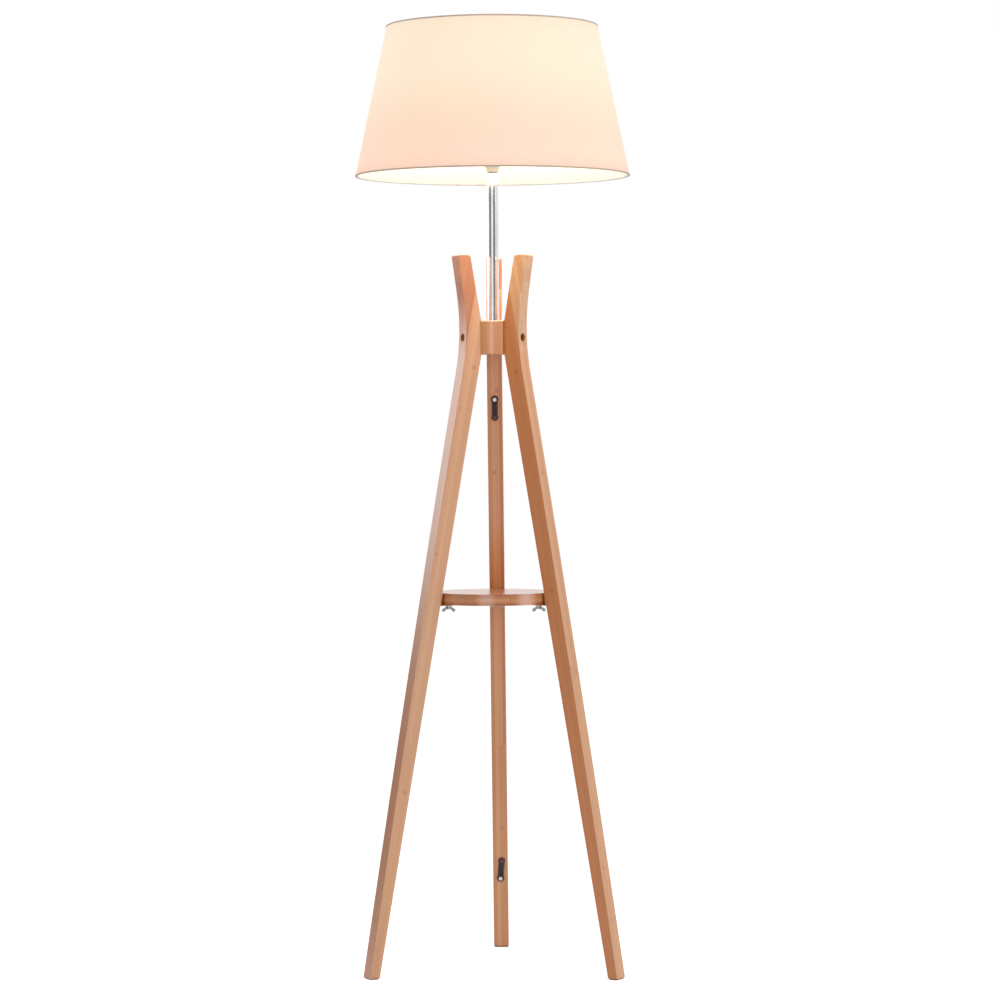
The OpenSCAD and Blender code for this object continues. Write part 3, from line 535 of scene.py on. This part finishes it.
# the middle line of a leg, in the frame of its lower arm: height and depth where the upper arm starts and ends
TOP_BAND = 0.004  # metres below the highest point: the points of the arm's top face
rear_points = [p.co for p in nodes["leg_rear"].data.vertices]
tops = [p for p in rear_points if p.z > leg_box[1].z - TOP_BAND]
top_y, top_z = sum(p.y for p in tops) / len(tops), leg_box[1].z
waist_z = (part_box("hub")[0].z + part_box("hub")[1].z) / 2
arm_top = (top_z * math.cos(LEAN) - top_y * math.sin(LEAN), top_y * math.cos(LEAN) + top_z * math.sin(LEAN))
WAIST_MIDDLE = 0.0145  # metres from the inner face to the middle of the leg at its waist
arm_foot = (waist_z * math.cos(LEAN), W_IN + WAIST_MIDDLE)
for side, azimuth in SIDES.items():
    first_light, first_dark, second_light, second_dark, outward_tone, front, spread = LEG_WOOD[side]
    settings = dict(origin=(W_IN, HALF_T), seed=azimuth / 30.0, second=(second_light, second_dark),
                    seam_w=W_IN + BOARD, outward_tone=outward_tone, spread=spread,
                    inner=None if side == "rear" else (INNER_FACE, arm_foot[0]))

    def lit_corner(g, w, t, s, front=front):
        """Where the painted highlight goes: the outer half of the edges on the front side."""
        middle = g.line(s, arm_foot[0], arm_top[0], arm_foot[1], arm_top[1])
        return g.math("MULTIPLY", g.math("GREATER_THAN", w, middle),
                      g.math("GREATER_THAN", g.math("MULTIPLY", t, front), 0.0))

    # each leg's eased edges: a painted highlight on the outer front corner, painted shade on the others
    wood = bamboo("bamboo_leg_" + side, first_light, first_dark, azimuth, LEAN, **settings)
    edge = bamboo("bamboo_edge_" + side, first_light, first_dark, azimuth, LEAN,
                  arris=lit_corner, **settings)
    ob = dress("leg_" + side, wood)
    ob.data.materials.append(edge)
    ease(ob, 0.0020, 3, edge_slot=1)
# the pale band down the hub's middle is a painted highlight, and the dark band on its right side, by the right leg,
# is painted shade
hub_wood = bamboo("bamboo_hub", srgb(233, 170, 120), srgb(204, 132, 84), origin=(0.0015, 0.002), pitch=(7.0, 14.0),
                  seed=17.0, spacing=0.3, roughness=0.3, coat=1.0, coat_roughness=0.12,
                  stripes=[("w", -0.0050, 0.0008, 0.0012, srgb(250, 194, 162), 0.8),
                           ("w", 0.0162, 0.0300, 0.0006, srgb(146, 84, 42), 0.7)])
ease(dress("hub", hub_wood), 0.0006, 2)
shelf_low, shelf_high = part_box("shelf")[0].z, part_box("shelf")[1].z
shelf_mid = (shelf_low + shelf_high) / 2
# pale bands on the shelf's rim, on upright faces alone: a painted highlight
RIM_GLARE = srgb(240, 194, 172)
shelf_settings = dict(
    along="X", origin=(-shelf_low, 0.004), pitch=(6.17, 20.0), seed=29.0, spacing=0.3, roughness=0.30, coat=0.6,
    coat_roughness=0.16,
    stripes=[("s", -0.022, 0.001, 0.008, RIM_GLARE, 0.55), ("s", 0.044, 0.066, 0.008, RIM_GLARE, 0.6)],
    plies=(-shelf_low, -shelf_high, [(0.0, 1.0), (0.14, 0.95), (0.24, 0.52), (0.34, 0.10), (0.54, 0.08),
                                     (0.62, 0.48), (0.78, 0.52), (0.86, 0.86), (1.0, 0.86)]))
SHELF_TONES = srgb(220, 150, 98), srgb(178, 104, 56)
shelf_wood = bamboo("bamboo_shelf", *SHELF_TONES, **shelf_settings)
# with along="X", w is the height below 0: the shelf's upper arris gets a painted highlight, its lower one painted
# shade
shelf_edge = bamboo("bamboo_shelf_edge", *SHELF_TONES,
                    arris=lambda g, w, t, s: g.math("LESS_THAN", w, -shelf_mid), **shelf_settings)
dress("shelf", shelf_wood).data.materials.append(shelf_edge)
ease(nodes["shelf"], 0.0022, 3, edge_slot=1)

# ---------------------------------------------------------------- metal and plastic

chrome = metal("chrome_tube", (0.90, 0.90, 0.92, 1), 0.12, patch=0.03)
zinc = metal("zinc_bright", (0.78, 0.79, 0.81, 1), 0.24, brush=0.08)
nut_plate = metal("wing_nut_plate", (0.34, 0.33, 0.32, 1), 0.24, brush=0.05)
dark_steel = metal("dark_steel", (0.13, 0.085, 0.06, 1), 0.38, brush=0.1)
bracket_paint = plastic("bracket_paint", srgb(160, 100, 60), 0.4, coat=0.2)
brass = metal("brass_turned", (0.80, 0.60, 0.27, 1), 0.25, brush=0.1)
bulb_metal = metal("bulb_screw_cap", (0.80, 0.80, 0.80, 1), 0.22, brush=0.08)
ivory = plastic("ivory_thermoset", srgb(240, 228, 206), 0.42)
porcelain = plastic("porcelain_glaze", srgb(246, 244, 238), 0.15, spread=0.03, grain=120.0, coat=0.6)
vitrite = plastic("vitrite_black", srgb(34, 32, 32), 0.2, coat=0.4)
wire_coat = plastic("white_wire_coat", srgb(240, 238, 232), 0.35, coat=0.2)
strap_skin = plastic("strap_skin", srgb(112, 58, 38), 0.5, spread=0.2, grain=420.0)
screw_zinc = metal("strap_screw_zinc", (0.60, 0.59, 0.60, 1), 0.3, brush=0.06)
strap_core = plastic("strap_core", srgb(46, 40, 40), 0.5, spread=0.2, grain=600.0)
stud_metal = metal("stud_bronze", (0.12, 0.09, 0.075, 1), 0.34, brush=0.08)
pad_felt = felt("pad_felt", srgb(112, 84, 64))

ease(dress("stem_tube", chrome), 0.0003, 2)
for name in ("stem_bush_lower", "stem_bush_upper", "stem_nipple", "stem_nut", "stem_washer", "holder_nipple"):
    ease(dress(name, zinc), 0.0003, 2)
for name in ("strap_screw_upper", "strap_screw_lower"):
    ease(dress(name, screw_zinc), 0.0003, 2)
for side in SIDES:
    ease(dress("leg_bolt_" + side, dark_steel), 0.0005, 2)
    ease(dress("leg_washer_" + side, dark_steel), 0.0002, 2)
    ease(dress("hub_insert_" + side, brass), 0.0003, 2)
    ease(dress("shelf_bracket_" + side, bracket_paint), 0.0004, 2)
    ease(dress("bracket_screws_" + side, zinc), 0.0002, 2)
    ease(dress("shelf_stud_" + side, zinc), 0.0004, 2)
    ease(dress("stud_washer_" + side, zinc), 0.0002, 2)
    ease(dress("wing_nut_" + side, nut_plate), 0.0005, 3)
for name in ("cord_bushing", "holder_cap", "holder_skirt", "clamp_ring"):
    ease(dress(name, ivory), 0.0004, 2)
ease(dress("porcelain_insert", porcelain), 0.0005, 2)
ease(dress("screw_shell", brass), 0.0001, 1)
ease(dress("centre_contact", brass), 0.0002, 2)
ease(dress("bulb_cap", bulb_metal), 0.0004, 2)
ease(dress("bulb_tip", vitrite), 0.0004, 2)
dress("bulb_glass", bulb_opal())
for name in ("shade_frame", "shade_fitter", "shade_top_ring"):
    dress(name, wire_coat)
for name in ("bulb_glass", "shade_frame", "shade_fitter", "shade_top_ring"):
    for p in nodes[name].data.polygons:
        p.use_smooth = True

# ---------------------------------------------------------------- straps and pads

def loft(name, rings, mats, split=None):
    """A closed form through rings of equally many points, from its base to its top. Faces above ring split
    get the second material."""
    bm = bmesh.new()
    rows = [[bm.verts.new(p) for p in ring] for ring in rings]
    n = len(rows[0])
    for k in range(len(rows) - 1):
        for i in range(n):
            j = (i + 1) % n
            f = bm.faces.new((rows[k][i], rows[k][j], rows[k + 1][j], rows[k + 1][i]))
            f.material_index = 1 if split is not None and k >= split else 0
    for row, mat in ((rows[0], 0), (rows[-1], 1 if split is not None else 0)):
        centre = bm.verts.new(sum((v.co for v in row), Vector()) / n)
        for i in range(n):
            bm.faces.new((row[i], row[(i + 1) % n], centre)).material_index = mat
    return mesh_object(name, bm, mats)


ARC_STEPS = 18


def strap_ring(inset, z, length, end_r, tip_r, waist):
    """The strap's outline at height z, drawn in by inset: a round end at 0, a round tip at length, and
    straight sides waist apart."""
    points = []
    for centre, r, start in ((length, tip_r, -1), (0.0, end_r, 1)):
        r -= inset
        half = math.asin(min(1.0, max(0.05, (waist / 2 - inset) / r)))
        lo, hi = half - math.pi, math.pi - half
        for i in range(ARC_STEPS + 1):
            a = lo + (hi - lo) * i / ARC_STEPS
            a = a if start < 0 else a + math.pi
            points.append((centre + r * math.cos(a), r * math.sin(a), z))
    return points


STRAP_END_R, STRAP_TIP_R, STRAP_WAIST = 0.0064, 0.0060, 0.0104  # metres
# inset and height of the band's rings: foot, side, rounded rim, groove and a raised core
BAND_SECTION = [(0.0003, 0.0), (0.0, 0.00025), (0.0, 0.0013), (0.00012, 0.00175), (0.00045, 0.0021),
                (0.00085, 0.0022), (0.00125, 0.00208), (0.00150, 0.00170), (0.00165, 0.00150), (0.00190, 0.00160),
                (0.00230, 0.00190), (0.0030, 0.00205), (0.0040, 0.0021)]
CORE_FROM = 8  # the ring in the groove
# radius and height of the stud's rings
STUD_PROFILE = [(0.0030, 0.0017), (0.0030, 0.0022), (0.0028, 0.00245), (0.0023, 0.00255), (0.0020, 0.0026),
                (0.0017, 0.0028), (0.0012, 0.00295), (0.0006, 0.0030)]
STUD_POINTS = 28
for which in ("upper", "lower"):
    joint = joints["strap_" + which + "_swivel"]
    centre, normal = Vector(joint["pos_m"]), Vector(joint["axis"]).normalized()
    if normal.y > 0:
        normal = -normal
    solid = nodes["cord_strap_" + which]
    reach, lift = Vector(), []
    for p in solid.data.vertices:
        d = p.co - centre
        lift.append(d.dot(normal))
        flat = d - normal * lift[-1]
        if flat.length > reach.length:
            reach = flat
    along = reach.normalized()
    across = normal.cross(along)
    length = reach.length - STRAP_TIP_R
    to_place = Matrix((
        (along.x, across.x, normal.x, 0), (along.y, across.y, normal.y, 0), (along.z, across.z, normal.z, 0),
        (0, 0, 0, 1)))
    to_place = Matrix.Translation(centre + normal * min(lift)) @ to_place
    rings = [[to_place @ Vector(q) for q in strap_ring(d, z, length, STRAP_END_R, STRAP_TIP_R, STRAP_WAIST)]
             for d, z in BAND_SECTION]
    strap = loft("strap_" + which + "_band", rings, [strap_skin, strap_core], split=CORE_FROM)
    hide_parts("cord_strap_" + which)
    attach(strap, "strap_" + which)
    dome = []
    for r, z in STUD_PROFILE:
        angles = [2 * math.pi * i / STUD_POINTS for i in range(STUD_POINTS)]
        dome.append([to_place @ Vector((length + r * math.cos(a), r * math.sin(a), z)) for a in angles])
    stud = loft("strap_" + which + "_stud", dome, [stud_metal])
    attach(stud, "strap_" + which)

PAD_CORNER = 0.0016  # metres
# inset of a pad's rings, and their height as a share of its thickness: slightly bulged sides
PAD_RINGS = [(0.0042, 0.0), (0.0018, 0.0), (0.0006, 0.02), (0.0002, 0.16), (0.0, 0.40),
             (0.0, 0.64), (0.0002, 0.86), (0.0006, 0.98), (0.0018, 1.0), (0.0042, 1.0)]
for side, azimuth in SIDES.items():
    back = Matrix.Rotation(math.radians(-azimuth), 4, "Z")
    local = [back @ p.co for p in nodes["foot_pad_" + side].data.vertices]
    x0, x1 = min(p.x for p in local), max(p.x for p in local)
    y0, y1 = min(p.y for p in local), max(p.y for p in local)
    top = max(p.z for p in local)
    out = Matrix.Rotation(math.radians(azimuth), 4, "Z")
    rings = []
    for k, (inset, share) in enumerate(PAD_RINGS):
        ring = []
        hx, hy = (x1 - x0) / 2 - inset, (y1 - y0) / 2 - inset
        r = max(PAD_CORNER - inset * 0.3, 0.0006)
        for q, (sx, sy) in enumerate(((1, 1), (-1, 1), (-1, -1), (1, -1))):
            for i in range(13):
                a = math.pi / 2 * (q + i / 12)
                fuzz = 0.00006 * math.sin(37 * a + 11 * k) + 0.00005 * math.sin(91 * a + 5 * k + azimuth)
                px = sx * (hx - r) + (r + fuzz) * math.cos(a)
                py = sy * (hy - r) + (r + fuzz) * math.sin(a)
                ring.append(out @ Vector(((x0 + x1) / 2 + px, (y0 + y1) / 2 + py, top * share)))
        rings.append(ring)
    pad = loft("felt_pad_" + side, rings, [pad_felt])
    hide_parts("foot_pad_" + side)
    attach(pad, "base")

# ---------------------------------------------------------------- shade

# metres: cloth and lining together; how far the cloth lies inside the CAD cone; how far it ends from a rim
SKIN, SUNK, SHORT = 0.0010, 0.0004, 0.0006
STEPS = 288
ROWS = 10


def shade_wave(a, k):
    """The cloth's faint unevenness, and the overlap at the back."""
    lap = 0.0004 if abs(a - SEAM_AT) < SEAM_HALF and k < ROWS else 0.0
    return 0.00012 * math.sin(7 * a + 0.4) + 0.00008 * math.sin(19 * a + 1.1) + lap


height = SHADE_HIGH - SHADE_LOW
outer, inner = [], []
for i in range(ROWS):
    u = i / (ROWS - 1)
    r = SHADE_LOW_R - SUNK - (SHADE_LOW_R - TOP_R) * u
    z = SHADE_LOW + SHORT + (height - 2 * SHORT) * u
    outer.append((r, z))
    inner.append((r - SKIN, z))
bm, faces = lathe(outer + inner[::-1], STEPS, shade_wave)
for k, f in faces:
    f.material_index = 1 if ROWS <= k < 2 * ROWS - 1 else 0
shade = mesh_object("shade_cover", bm, [shade_cloth(), shade_lining()])
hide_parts("shade_fabric")
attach(shade, "shade")

hem_mat = hem_cloth()
HEM = 0.0024  # metres, both wide and tall
HEM_POINTS = 14


def hem(name, r_mid, z_mid):
    """The rolled edge round a rim: a rounded band over the cloth's end."""
    profile = []
    for i in range(HEM_POINTS):
        a = 2 * math.pi * i / HEM_POINTS
        c, s = math.cos(a), math.sin(a)
        profile.append((r_mid + HEM / 2 * math.copysign(abs(c) ** 0.7, c),
                        z_mid + HEM / 2 * math.copysign(abs(s) ** 0.8, s)))
    band, _ = lathe(profile, STEPS, lambda a, k: 0.00008 * math.sin(31 * a) + 0.00006 * math.sin(53 * a + 2))
    ob = mesh_object(name, band, [hem_mat])
    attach(ob, "shade")
    return ob


# each hem's middle lies a little inside the rim
hems = [
    hem("shade_hem_lower", SHADE_LOW_R - 0.0009, SHADE_LOW + 0.0011),
    hem("shade_hem_upper", TOP_R - 0.0006, SHADE_HIGH - 0.0011),
]

# ---------------------------------------------------------------- stage and light

FLOOR_HALF = 14.0  # metres
FLOOR_LIFT = 0.55  # brings the lit floor to white for the camera and in reflections; shadows stay
floor_mesh = bmesh.new()
bmesh.ops.create_grid(floor_mesh, x_segments=8, y_segments=8, size=FLOOR_HALF)
m, g, bsdf = material("studio_floor")
path = g.make("ShaderNodeLightPath").outputs
v = g.object_coords()
grit = g.noise(v, 60.0, 3.0, 0.6)
feed(g, bsdf, Base_Color=g.mix(grit, (0.80, 0.80, 0.80, 1), (0.78, 0.78, 0.78, 1)))
bsdf.inputs["Roughness"].default_value = 0.9
bsdf.inputs["Specular IOR Level"].default_value = 0.1
mirrored = g.math("MAXIMUM", path["Is Glossy Ray"], path["Is Transmission Ray"])
seen = g.math("MAXIMUM", path["Is Camera Ray"], mirrored)
glow = g.make("ShaderNodeEmission", {"Color": (1, 1, 1, 1), "Strength": g.math("MULTIPLY", seen, FLOOR_LIFT)})
add = g.make("ShaderNodeAddShader", {0: bsdf.outputs[0], 1: glow.outputs[0]})
out = next(n for n in m.node_tree.nodes if n.type == "OUTPUT_MATERIAL")
m.node_tree.links.new(add.outputs[0], out.inputs[0])
floor = mesh_object("studio_floor", floor_mesh, [m], smooth=False)

SKY = 0.65
NEAR_FLAGS, FAR_FLAG = 0.78, 0.20  # the share of the sky's light that the flags take away
world = bpy.data.worlds.new("studio")
scene.world = world
world.use_nodes = True
world.node_tree.nodes.clear()
g = Graph(world.node_tree)
direction = g.make("ShaderNodeTexCoord").outputs["Generated"]
x, y, z = g.split(direction)
# azimuth 0 towards the camera, positive to the right
azimuth = g.math("ARCTAN2", x, g.math("MULTIPLY", y, -1.0))
deg = g.math("MULTIPLY", azimuth, 180.0 / math.pi)
# two dark flags stand low in front, left and right of a bright gap, and a faint one further to the right
# the numbers are the flags' edges, in degrees from soft to full
left_flag = g.math("MULTIPLY", g.ramp(deg, -80.0, -75.0), g.ramp(deg, -28.0, -32.0))
right_flag = g.math("MULTIPLY", g.ramp(deg, 5.0, 9.0), g.ramp(deg, 53.0, 48.0))
low_part = g.math("MULTIPLY", g.ramp(z, 0.22, 0.15), g.ramp(z, -0.06, 0.0))
flags = g.math("MULTIPLY", g.math("MAXIMUM", left_flag, right_flag), low_part)
far_right = g.math("MULTIPLY", g.math("MULTIPLY", g.ramp(deg, 48.0, 53.0), g.ramp(deg, 116.0, 106.0)), low_part)
path = g.make("ShaderNodeLightPath").outputs
# the sky gives diffuse light at SKY, and is white in reflections and for the camera
mirrored = g.math("MAXIMUM", path["Is Glossy Ray"], path["Is Transmission Ray"])
open_sky = g.math("MULTIPLY_ADD", mirrored, 1.0 - SKY, SKY)
strength = g.math("MULTIPLY", open_sky, g.math("MULTIPLY_ADD", far_right, -FAR_FLAG, 1.0))
strength = g.math("MULTIPLY", strength, g.math("MULTIPLY_ADD", flags, -NEAR_FLAGS, 1.0))
strength = g.math("MAXIMUM", strength, path["Is Camera Ray"])
background = g.make("ShaderNodeBackground", {"Color": (1, 1, 1, 1), "Strength": strength})
world_out = g.make("ShaderNodeOutputWorld")
world.node_tree.links.new(background.outputs[0], world_out.inputs[0])


def area(name, place, aim, size, radiance, colour=(1, 1, 1)):
    """A soft box of size metres whose face shines at radiance, where white paper in full light is 1."""
    data = bpy.data.lights.new(name, "AREA")
    data.shape = "RECTANGLE"
    data.size, data.size_y = size
    data.energy = radiance * math.pi * size[0] * size[1]
    data.color = colour
    ob = bpy.data.objects.new(name, data)
    scene.collection.objects.link(ob)
    ob.location = place
    ob.rotation_euler = (Vector(aim) - Vector(place)).to_track_quat("-Z", "Y").to_euler()
    ob.visible_camera = False
    return ob


area("key", place=(2.9, -1.7, 2.38), aim=(0, 0, 0.8), size=(1.5, 1.7), radiance=2.7)
area("rim", place=(-3.3, 2.25, 1.75), aim=(0, 0, 0.9), size=(1.6, 1.3), radiance=1.6)
area("fill_low", place=(1.85, -1.2, 0.38), aim=(0, 0, 0.38), size=(1.0, 0.7), radiance=0.9)
# the light that leaves the shade's lower opening
mouth = area("shade_glow", place=(0, 0, SHADE_LOW + 0.004), aim=(0, 0, 0), size=(0.36, 0.36), radiance=3.7,
             colour=(1.0, 0.93, 0.82))
mouth.data.shape = "DISK"
bulb_light = bpy.data.lights.new("bulb_light", "POINT")
bulb_light.energy = 0.7
bulb_light.color = (1.0, 0.84, 0.62)
bulb_light.shadow_soft_size = 0.02
bulb_lamp = bpy.data.objects.new("bulb_light", bulb_light)
scene.collection.objects.link(bulb_lamp)
bulb_lamp.location = (0.0, 0.0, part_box("bulb_glass")[1].z + 0.03)

# a low dark flag behind on the left, which shows in reflections alone: it keeps the lower legs' outer sides
# from going pale
m, g, bsdf = material("studio_flag")
cloud = g.noise(g.object_coords(), 3.0, 2.0, 0.5)
feed(g, bsdf, Base_Color=g.mix(cloud, (0.05, 0.05, 0.05, 1), (0.07, 0.07, 0.07, 1)))
flag_mesh = bmesh.new()
bmesh.ops.create_grid(flag_mesh, x_segments=4, y_segments=4, size=0.5)
flag = mesh_object("studio_flag", flag_mesh, [m], smooth=False)
FLAG_PLACE, FLAG_TURN = (-2.55, 1.75, 0.44), math.radians(56)
FLAG_WIDE, FLAG_TALL = 1.9, 0.86  # metres
flag.matrix_world = (Matrix.Translation(FLAG_PLACE) @ Matrix.Rotation(FLAG_TURN, 4, "Z")
                     @ Matrix.Rotation(math.radians(90), 4, "X")
                     @ Matrix.Diagonal((FLAG_WIDE, FLAG_TALL, 1.0, 1.0)))
flag.visible_camera = False
flag.visible_diffuse = False

scene.view_settings.view_transform = "Standard"
